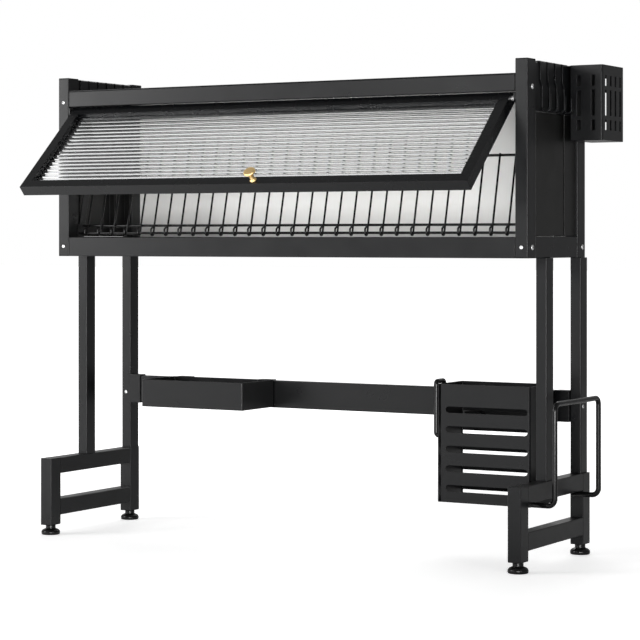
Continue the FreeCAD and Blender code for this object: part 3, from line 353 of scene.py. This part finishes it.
def back_sheet(name):
    """Warm white enamel with faint unevenness."""
    n = new_material(name)
    n.set(Base_Color=n.ramp(n.noise(3.0), (0.91, 0.895, 0.87), (0.95, 0.94, 0.925)),
          Roughness=n.spread(n.noise(30.0), 0.38, 0.48),
          Normal=n.bump(n.noise(500.0, 2.0), 0.06, 0.0001))
    return n.owner


def seen_directly(n):
    """1 for rays from the camera and for those let through by the glazing."""
    return n.value("MAXIMUM", n.rays("Is Camera Ray"), n.rays("Is Transmission Ray"))


def floor_material():
    """A pale floor that shows nearly white and keeps the object's soft shadow."""
    n = new_material("floor_paper")
    n.set(Base_Color=n.ramp(n.noise(1.2, 2.0), (0.80, 0.80, 0.80), (0.83, 0.83, 0.83)),
          Roughness=n.spread(n.noise(90.0), 0.55, 0.65),
          Specular_IOR_Level=0.25)
    place = n.coordinate("Object")
    away = n.value("LENGTH", place, kind="ShaderNodeVectorMath")
    lift = n.value("MULTIPLY", seen_directly(n), n.spread(away, *FLOOR_LIFT, *FLOOR_REACH))
    front = n.toward(place, FLOOR_SHINE_TOWARD)
    shine = n.value("MULTIPLY", n.rays("Is Glossy Ray"),
                    n.spread(front, *FLOOR_SHINE, *FLOOR_SHINE_REACH))
    glow = n.add("ShaderNodeEmission")
    n.give(glow.inputs["Strength"], n.value("ADD", lift, shine))
    both = n.add("ShaderNodeAddShader")
    n.give(both.inputs[0], n.shader.outputs["BSDF"])
    n.give(both.inputs[1], glow.outputs["Emission"])
    n.give(n.output.inputs["Surface"], both.outputs["Shader"])
    return n.owner


BLACK = powder_coat("black_powder_coat", (0.0034, 0.0036, 0.0040), (0.0050, 0.0052, 0.0058),
                    (0.27, 0.35))
DOOR_BLACK = powder_coat("door_anodised", (0.0028, 0.0030, 0.0034), (0.0042, 0.0044, 0.0050),
                         (0.22, 0.30), 3200.0, 0.00002)
SIDE_BLACK = powder_coat("side_board_coat", (0.0026, 0.0026, 0.0024), (0.0038, 0.0038, 0.0035),
                         (0.32, 0.40))
WIRE_BLACK = powder_coat("wire_coat", (0.0030, 0.0030, 0.0032), (0.0044, 0.0044, 0.0046),
                         (0.18, 0.25))
# Black plug plastic; also the painted shade of the screws' cross recesses
PLUG_AND_RECESS_SHADE_BLACK = plastic("plug_plastic_and_recess_shade", (0.004, 0.004, 0.004), (0.006, 0.006, 0.006), (0.5, 0.62))
FOOT_BLACK = plastic("foot_gloss", (0.004, 0.004, 0.004), (0.006, 0.006, 0.006), (0.12, 0.17),
                     400.0, 0.02)
STEEL = bright_metal("screw_steel", (0.80, 0.80, 0.80), (0.92, 0.92, 0.92), (0.40, 0.52))
BRASS = bright_metal("knob_brass", (0.97, 0.66, 0.28), (1.0, 0.77, 0.40), (0.40, 0.50))
GLAZING = clear_sheet("reeded_glazing")
WHITE = back_sheet("white_enamel")

# Finish of the pieces that stay as they are; those not named get the black coat
FINISHES = {name: material for material, names in (
    (PLUG_AND_RECESS_SHADE_BLACK, ("post_caps", "side_rail_plugs", "beam_plugs", "foot_inserts")),
    (SIDE_BLACK, ("side_panel_left", "side_panel_right")),
    (DOOR_BLACK, ("door_stile_left", "door_stile_right", "door_top_rail", "door_bottom_rail")),
    (WIRE_BLACK, ("rack_rods",)),
    (STEEL, ("knob_screw", "hinge_pins")),
    (WHITE, ("back_panel",)),
    (GLAZING, ("reeded_panel",)),
) for name in names}


# Mesh building

def piece(name, bm, material, body, replaced=(), smooth=True):
    """Turn a bmesh into a named piece that rides on a body."""
    bmesh.ops.remove_doubles(bm, verts=bm.verts, dist=1e-7)
    bmesh.ops.recalc_face_normals(bm, faces=bm.faces)
    mesh = bpy.data.meshes.new(name)
    bm.to_mesh(mesh)
    bm.free()
    for face in mesh.polygons:
        face.use_smooth = smooth
    mesh.materials.append(material)
    made = bpy.data.objects.new(name, mesh)
    SCENE.collection.objects.link(made)
    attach(made, body)
    if replaced:
        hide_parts(*replaced)
    return made


def soften(made, width, segments=3, angle=30.0):
    """Weld split corners and round every sharp edge a little."""
    weld = made.modifiers.new("weld", "WELD")
    weld.merge_threshold = 0.00001
    bevel = made.modifiers.new("bevel", "BEVEL")
    bevel.width = width
    bevel.segments = segments
    bevel.limit_method = "ANGLE"
    bevel.angle_limit = math.radians(angle)
    bevel.harden_normals = True
    for face in made.data.polygons:
        face.use_smooth = True


def eased(points, bend, steps):
    """Corner points turned into a path whose corners are arcs."""
    path = [points[0]]
    for before, corner, after in zip(points, points[1:], points[2:]):
        back = (before - corner).normalized()
        ahead = (after - corner).normalized()
        half = (math.pi - back.angle(ahead)) / 2.0
        centre = corner + (back + ahead).normalized() * (bend / math.cos(half))
        outward = (corner - centre).normalized()
        sideways = (ahead - back).normalized()
        for step in range(steps + 1):
            angle = half * (2.0 * step / steps - 1.0)
            arm = outward * math.cos(angle) + sideways * math.sin(angle)
            path.append(centre + arm * bend)
    path.append(points[-1])
    return path


def without_repeats(path):
    """A path with points that fall on the one before them left out."""
    kept = [path[0]]
    for point in path[1:]:
        if (point - kept[-1]).length > 0.00001:
            kept.append(point)
    return kept


def cut_corner(corner, before, after, reach, steps=4):
    """Points of a smooth turn at a corner, from one side of it to the other."""
    start = corner + (before - corner).normalized() * reach
    end = corner + (after - corner).normalized() * reach
    parts = [step / steps for step in range(steps + 1)]
    return [start * (1 - t) ** 2 + corner * 2 * t * (1 - t) + end * t ** 2 for t in parts]


def circle(bm, centre, across, up, radius, sides):
    """A ring of vertices."""
    ring = []
    for side in range(sides):
        angle = 2.0 * math.pi * side / sides
        arm = across * math.cos(angle) + up * math.sin(angle)
        ring.append(bm.verts.new(centre + arm * radius))
    return ring


def join_rings(bm, rings):
    """Faces between rings of equally many points, and a cap on each end."""
    count = len(rings[0])
    for low, high in zip(rings, rings[1:]):
        for index in range(count):
            after = (index + 1) % count
            bm.faces.new((low[index], low[after], high[after], high[index]))
    bm.faces.new(list(reversed(rings[0])))
    bm.faces.new(rings[-1])


def bar(bm, path, radius, sides):
    """A round bar along a path, closed at both ends."""
    along = (path[1] - path[0]).normalized()
    helper = UP if abs(along.z) < 0.9 else Vector((1.0, 0.0, 0.0))
    across = along.cross(helper).normalized()
    rings = []
    for index, point in enumerate(path):
        before = path[max(index - 1, 0)]
        after = path[min(index + 1, len(path) - 1)]
        along = (after - before).normalized()
        across = (across - along * across.dot(along)).normalized()
        rings.append(circle(bm, point, across, along.cross(across), radius, sides))
    join_rings(bm, rings)


def lathe(bm, profile, base, direction, sides):
    """A turned form from (radius, height) pairs in millimetres."""
    turn = UP.rotation_difference(direction.normalized()).to_matrix()
    across, up, axis = turn.col
    join_rings(bm, [circle(bm, base + axis * height * MM, across, up, radius * MM, sides)
                    for radius, height in profile])


def rounded_profile(corners, radius):
    """A (radius, height) profile whose corners are eased."""
    points = [Vector(corner) for corner in corners]
    path = [points[0]]
    for before, corner, after in zip(points, points[1:], points[2:]):
        room = min((before - corner).length, (after - corner).length) * 0.45
        path += cut_corner(corner, before, after, min(radius, room))
    return path + [points[-1]]


# Wire work

def plate_wires():
    """Thirty wires, each bent round the lowest rod and turned back up behind its own foot."""
    bm = bmesh.new()
    foot_y, foot_z = RACK_FOOT
    apart = WIRE_RADIUS + ROD_RADIUS + ROD_GAP
    bent = eased([at(0, *RACK_TOP), at(0, *RACK_KINK), at(0, foot_y + apart, foot_z)],
                 WIRE_BEND * MM, 4)
    for step in range(HALF_TURN_STEPS + 1):
        angle = -math.pi * step / HALF_TURN_STEPS
        bent.append(at(0, foot_y + apart * math.cos(angle), foot_z + apart * math.sin(angle)))
    bent += eased([bent.pop(), at(0, foot_y - apart, foot_z + RACK_RETURN), at(0, *RACK_TIP)],
                  WIRE_TIP_BEND * MM, 4)
    bent = without_repeats(bent)
    first = WIRE_SHIFT - WIRE_PITCH * (WIRE_COUNT - 1) / 2.0
    for index in range(WIRE_COUNT):
        across = Vector(((first + index * WIRE_PITCH) * MM, 0.0, 0.0))
        bar(bm, [point + across for point in bent], WIRE_RADIUS * MM, 12)
    piece("plate_wires", bm, WIRE_BLACK, "rack", ["rack_wires"])


def loop_from_box(name, node, axis_sign, radius, bend, body):
    """A bent loop of wire that fits a node's box, with both ends turned towards the object."""
    low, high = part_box(node)
    r = radius * MM
    outer = high.x - r if axis_sign > 0 else low.x + r
    inner = low.x if axis_sign > 0 else high.x
    y0, y1 = low.y + r, high.y - r
    z0, z1 = low.z + r, high.z - r
    points = [Vector((inner, y0, z0)), Vector((outer, y0, z0)), Vector((outer, y0, z1)),
              Vector((outer, y1, z1)), Vector((outer, y1, z0)), Vector((inner, y1, z0))]
    bm = bmesh.new()
    bar(bm, without_repeats(eased(points, bend * MM, 10)), r, 20)
    piece(name, bm, WIRE_BLACK, body, [node])


# Hooks

def hook_width(drop):
    """Half the hook's width at a depth below its top, in millimetres."""
    share = min(max((drop - HOOK_WIDE_DROP) / HOOK_TAPER, 0.0), 1.0)
    eased_share = share * share * (3.0 - 2.0 * share)
    return HOOK_HALF + (HOOK_SHANK_HALF - HOOK_HALF) * eased_share


def hook(name, sign):
    """A flat strip folded over the rail, narrowed to a shank and rolled to an upturned tip."""
    low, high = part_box(name)
    middle = (low.y + high.y) / 2.0
    inner = low.x if sign > 0 else high.x
    outer = high.x if sign > 0 else low.x
    span = abs(outer - inner) / MM
    tall = (high.z - low.z) / MM
    half = HOOK_THICK / 2.0
    plate = span - HOOK_REACH
    centre = plate + HOOK_REACH / 2.0
    roll = HOOK_REACH / 2.0 - half
    rail_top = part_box("side_top_rail_right")[1].z
    inner_end = Vector((half, rail_top / MM - HOOK_INNER_DROP - low.z / MM))
    inner_top = Vector((half, tall - half))
    plate_top = Vector((plate + half, tall - half))
    line = [inner_end]
    line += cut_corner(inner_top, inner_end, plate_top, HOOK_FOLD)
    line += cut_corner(plate_top, inner_top, Vector((plate + half, 0.0)), HOOK_FOLD)
    line += [Vector((plate + half, tall - drop)) for drop in HOOK_DROPS]
    rolled = len(line)
    for step in range(HALF_TURN_STEPS + 1):
        angle = math.pi + math.pi * step / HALF_TURN_STEPS
        line.append(Vector((centre + roll * math.cos(angle),
                            HOOK_REACH / 2.0 + roll * math.sin(angle))))
    line += [Vector((span - half, HOOK_TIP_RISE * HOOK_TIP_MIDDLE)),
             Vector((span - half, HOOK_TIP_RISE))]
    bm = bmesh.new()
    rings = []
    for index, point in enumerate(line):
        before = line[max(index - 1, 0)]
        after = line[min(index + 1, len(line) - 1)]
        along = (after - before).normalized()
        side = Vector((-along.y, along.x)) * half
        width = hook_width(tall - point.y) if point.x > plate * 0.5 else HOOK_HALF
        if index >= rolled:
            width = HOOK_SHANK_HALF
        ring = []
        for y, turn in ((-width, -1), (width, -1), (width, 1), (-width, 1)):
            corner = (point + side * turn) * MM
            ring.append(bm.verts.new(Vector((inner + sign * corner.x, middle + y * MM,
                                             low.z + corner.y))))
        rings.append(ring)
    join_rings(bm, rings)
    made = piece(name + "_strip", bm, BLACK, name, [name])
    soften(made, 0.0006, 2, 40.0)


# Small turned parts

def foot(name):
    """A levelling foot: rounded pad, collar and stud."""
    low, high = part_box(name)
    base = Vector(((low.x + high.x) / 2.0, (low.y + high.y) / 2.0, low.z))
    pad = (high.x - low.x) / 2.0 / MM
    tall = (high.z - low.z) / MM
    corners = [(CENTRE, 0.0)]
    corners += [(pad - inset, height) for inset, height in FOOT_EDGE]
    corners += [(pad * FOOT_SHOULDER[0], FOOT_SHOULDER[1]), *FOOT_NECK]
    corners += [(FOOT_STUD_RADIUS, tall), (CENTRE, tall)]
    bm = bmesh.new()
    lathe(bm, rounded_profile(corners, FOOT_EASE), base, UP, 48)
    piece(name + "_turned", bm, FOOT_BLACK, name, [name])


def screw_places(mesh):
    """Where each screw's head sits, which way it faces and its radius, from a mesh's loose parts."""
    bm = bmesh.new()
    bm.from_mesh(mesh)
    bmesh.ops.remove_doubles(bm, verts=bm.verts, dist=1e-6)
    seen = set()
    places = []
    for vert in bm.verts:
        if vert in seen:
            continue
        group, stack = [], [vert]
        seen.add(vert)
        while stack:
            current = stack.pop()
            group.append(current.co.copy())
            for edge in current.link_edges:
                other = edge.other_vert(current)
                if other not in seen:
                    seen.add(other)
                    stack.append(other)
        low = Vector(map(min, *group))
        high = Vector(map(max, *group))
        size = high - low
        middle = (low + high) / 2.0
        if size.x > size.y:
            sign = 1.0 if middle.x > ORIGIN.x else -1.0
            tip = high.x if sign > 0 else low.x
            base = Vector((tip - sign * SCREW_RISE * MM, middle.y, middle.z))
            facing = Vector((sign, 0.0, 0.0))
        else:
            base = Vector((middle.x, low.y + SCREW_RISE * MM, middle.z))
            facing = Vector((0.0, -1.0, 0.0))
        places.append((base, facing, size.z / 2.0 / MM))
    bm.free()
    return places


def screw_heads():
    """Domed screw heads where the frame's screws are, each with a cross of thin black bars as
    painted shade of a cross recess.
    """
    heads = screw_places(NODES["frame_screws"].data)
    bm = bmesh.new()
    for base, direction, radius in heads:
        profile = [(CENTRE, -SCREW_SHANK), (SCREW_SHANK, -SCREW_SHANK), (SCREW_SHANK, 0.0),
                   (radius, 0.0), (radius, SCREW_RIM)]
        for step in range(1, SCREW_DOME_STEPS + 1):
            angle = math.radians(90.0 * step / SCREW_DOME_STEPS)
            profile.append((max(radius * math.cos(angle), CENTRE),
                            SCREW_RIM + (SCREW_RISE - SCREW_RIM) * math.sin(angle)))
        lathe(bm, profile, base, direction, 32)
    piece("screw_heads", bm, STEEL, "rack", ["frame_screws"])
    # Painted shade: thin black bars in a cross, just breaking the dome, stand for the shaded hollow
    # of a cross recess
    bm = bmesh.new()
    for base, direction, radius in heads:
        turn = UP.rotation_difference(direction).to_matrix().to_4x4()
        stand = Matrix.Translation(base) @ turn
        stand @= Matrix.Translation(UP * (SCREW_RISE - RECESS_DROP) * MM)
        size = Matrix.Diagonal((radius * MM, radius * RECESS_WIDTH * MM, RECESS_DEPTH * MM, 1.0))
        for quarter in (0.0, 90.0):
            spin = Matrix.Rotation(math.radians(quarter + RECESS_TURN), 4, "Z")
            bmesh.ops.create_cube(bm, size=1.0, matrix=stand @ spin @ size)
    piece("screw_recess_painted_shade", bm, PLUG_AND_RECESS_SHADE_BLACK, "rack", (), smooth=False)


# Door

def reeded_glazing():
    """The door's glazing: a row of smooth half-round reeds on its outer face, flat behind."""
    low, high = DOOR_BOTTOM + GLAZING_EDGE, DOOR_TOP - GLAZING_EDGE
    outer = (DOOR_THICKNESS - GLAZING_THICKNESS) / 2.0
    inner = outer + GLAZING_THICKNESS
    outline = [(outer, low)]
    for step in range(REED_COUNT * REED_STEPS + 1):
        share = step % REED_STEPS / REED_STEPS
        z = low + REED_MARGIN + step / REED_STEPS * REED_PITCH
        outline.append((outer - REED_HEIGHT * 4.0 * share * (1.0 - share), z))
    outline += [(outer, high), (inner, high), (inner, low)]
    half = DOOR_HALF - GLAZING_EDGE
    bm = bmesh.new()
    rings = [[bm.verts.new(on_door(x, y, z)) for y, z in outline] for x in (-half, half)]
    join_rings(bm, rings)
    made = piece("glazing_sheet", bm, GLAZING, "door", ["reeded_panel"])
    made.data.set_sharp_from_angle(angle=math.radians(40.0))


def door_knob():
    """The brass knob on the door's bottom rail."""
    middle = DOOR_BOTTOM + DOOR_FRAME_WIDTH / 2.0
    base = on_door(KNOB_X, 0.0, middle)
    direction = on_door(KNOB_X, -1.0, middle) - base
    bm = bmesh.new()
    lathe(bm, rounded_profile(KNOB_PROFILE, KNOB_EASE), base, direction, 64)
    piece("knob_turned", bm, BRASS, "door", ["knob"])


def finish_nodes():
    """Give every carried piece its material and slightly rounded edges."""
    for name, node in NODES.items():
        node.data.materials.clear()
        node.data.materials.append(FINISHES.get(name, BLACK))
        normals = node.data.attributes.get("custom_normal")
        if normals:
            node.data.attributes.remove(normals)
        if not node.hide_render and name not in NOT_SOFTENED:
            soften(node, SOFT_EDGE)


# Stage, light and camera

def stage():
    """A wide pale floor."""
    bm = bmesh.new()
    bmesh.ops.create_grid(bm, x_segments=1, y_segments=1, size=FLOOR_HALF)
    mesh = bpy.data.meshes.new("floor")
    bm.to_mesh(mesh)
    bm.free()
    mesh.materials.append(floor_material())
    floor = bpy.data.objects.new("floor", mesh)
    floor.location = (0.0, 0.0, -FLOOR_DROP)
    SCENE.collection.objects.link(floor)


def world():
    """A plain pale surround, white where it is seen and softer as a light."""
    made = bpy.data.worlds.new("surround")
    n = Nodes(made)
    side = n.toward(n.coordinate("Generated"), SURROUND_TOWARD)
    as_light = n.spread(side, *SURROUND_LIGHT, *SURROUND_TURN)
    background = n.tree.nodes["Background"]
    background.inputs["Color"].default_value = (1.0, 1.0, 1.0, 1.0)
    n.give(background.inputs["Strength"], n.spread(seen_directly(n), as_light, 1.0, 0.0, 1.0))
    SCENE.world = made


def softbox(name, place, aim, size, power):
    """A rectangular lamp that faces a point and isn't itself seen through the glazing."""
    lamp = bpy.data.lights.new(name, "AREA")
    lamp.shape = "RECTANGLE"
    lamp.size, lamp.size_y = size
    lamp.energy = power
    made = bpy.data.objects.new(name, lamp)
    made.location = place
    made.rotation_euler = (Vector(aim) - Vector(place)).to_track_quat("-Z", "Y").to_euler()
    made.visible_transmission = False
    SCENE.collection.objects.link(made)


def camera():
    """A level camera with the horizon above the picture's middle, as the photograph has it."""
    data = bpy.data.cameras.new("camera")
    data.sensor_width = SENSOR_WIDTH
    data.lens = FOCAL_PIXELS / PICTURE_SIZE * SENSOR_WIDTH
    data.shift_y = (HORIZON_ROW - PICTURE_SIZE / 2.0) / PICTURE_SIZE
    data.clip_end = CAMERA_REACH
    made = bpy.data.objects.new("camera", data)
    made.location = at(*CAMERA_PLACE)
    made.rotation_euler = (math.radians(90.0), 0.0, math.radians(CAMERA_YAW))
    SCENE.collection.objects.link(made)
    SCENE.camera = made


camera()
stage()
world()
for lamp in LAMPS:
    softbox(*lamp)
plate_wires()
loop_from_box("towel_wire", "towel_loop", 1.0, *TOWEL_WIRE, "rack")
loop_from_box("basket_wire", "basket_loop", -1.0, *BASKET_WIRE, "basket")
for index in range(RIGHT_HOOKS):
    hook("hook_right_" + str(index + 1), 1.0)
for index in range(LEFT_HOOKS):
    hook("hook_left_" + str(index + 1), -1.0)
for corner in ("front_left", "front_right", "rear_left", "rear_right"):
    foot("foot_" + corner)
screw_heads()
reeded_glazing()
door_knob()
finish_nodes()
SCENE.view_settings.view_transform = "Standard"
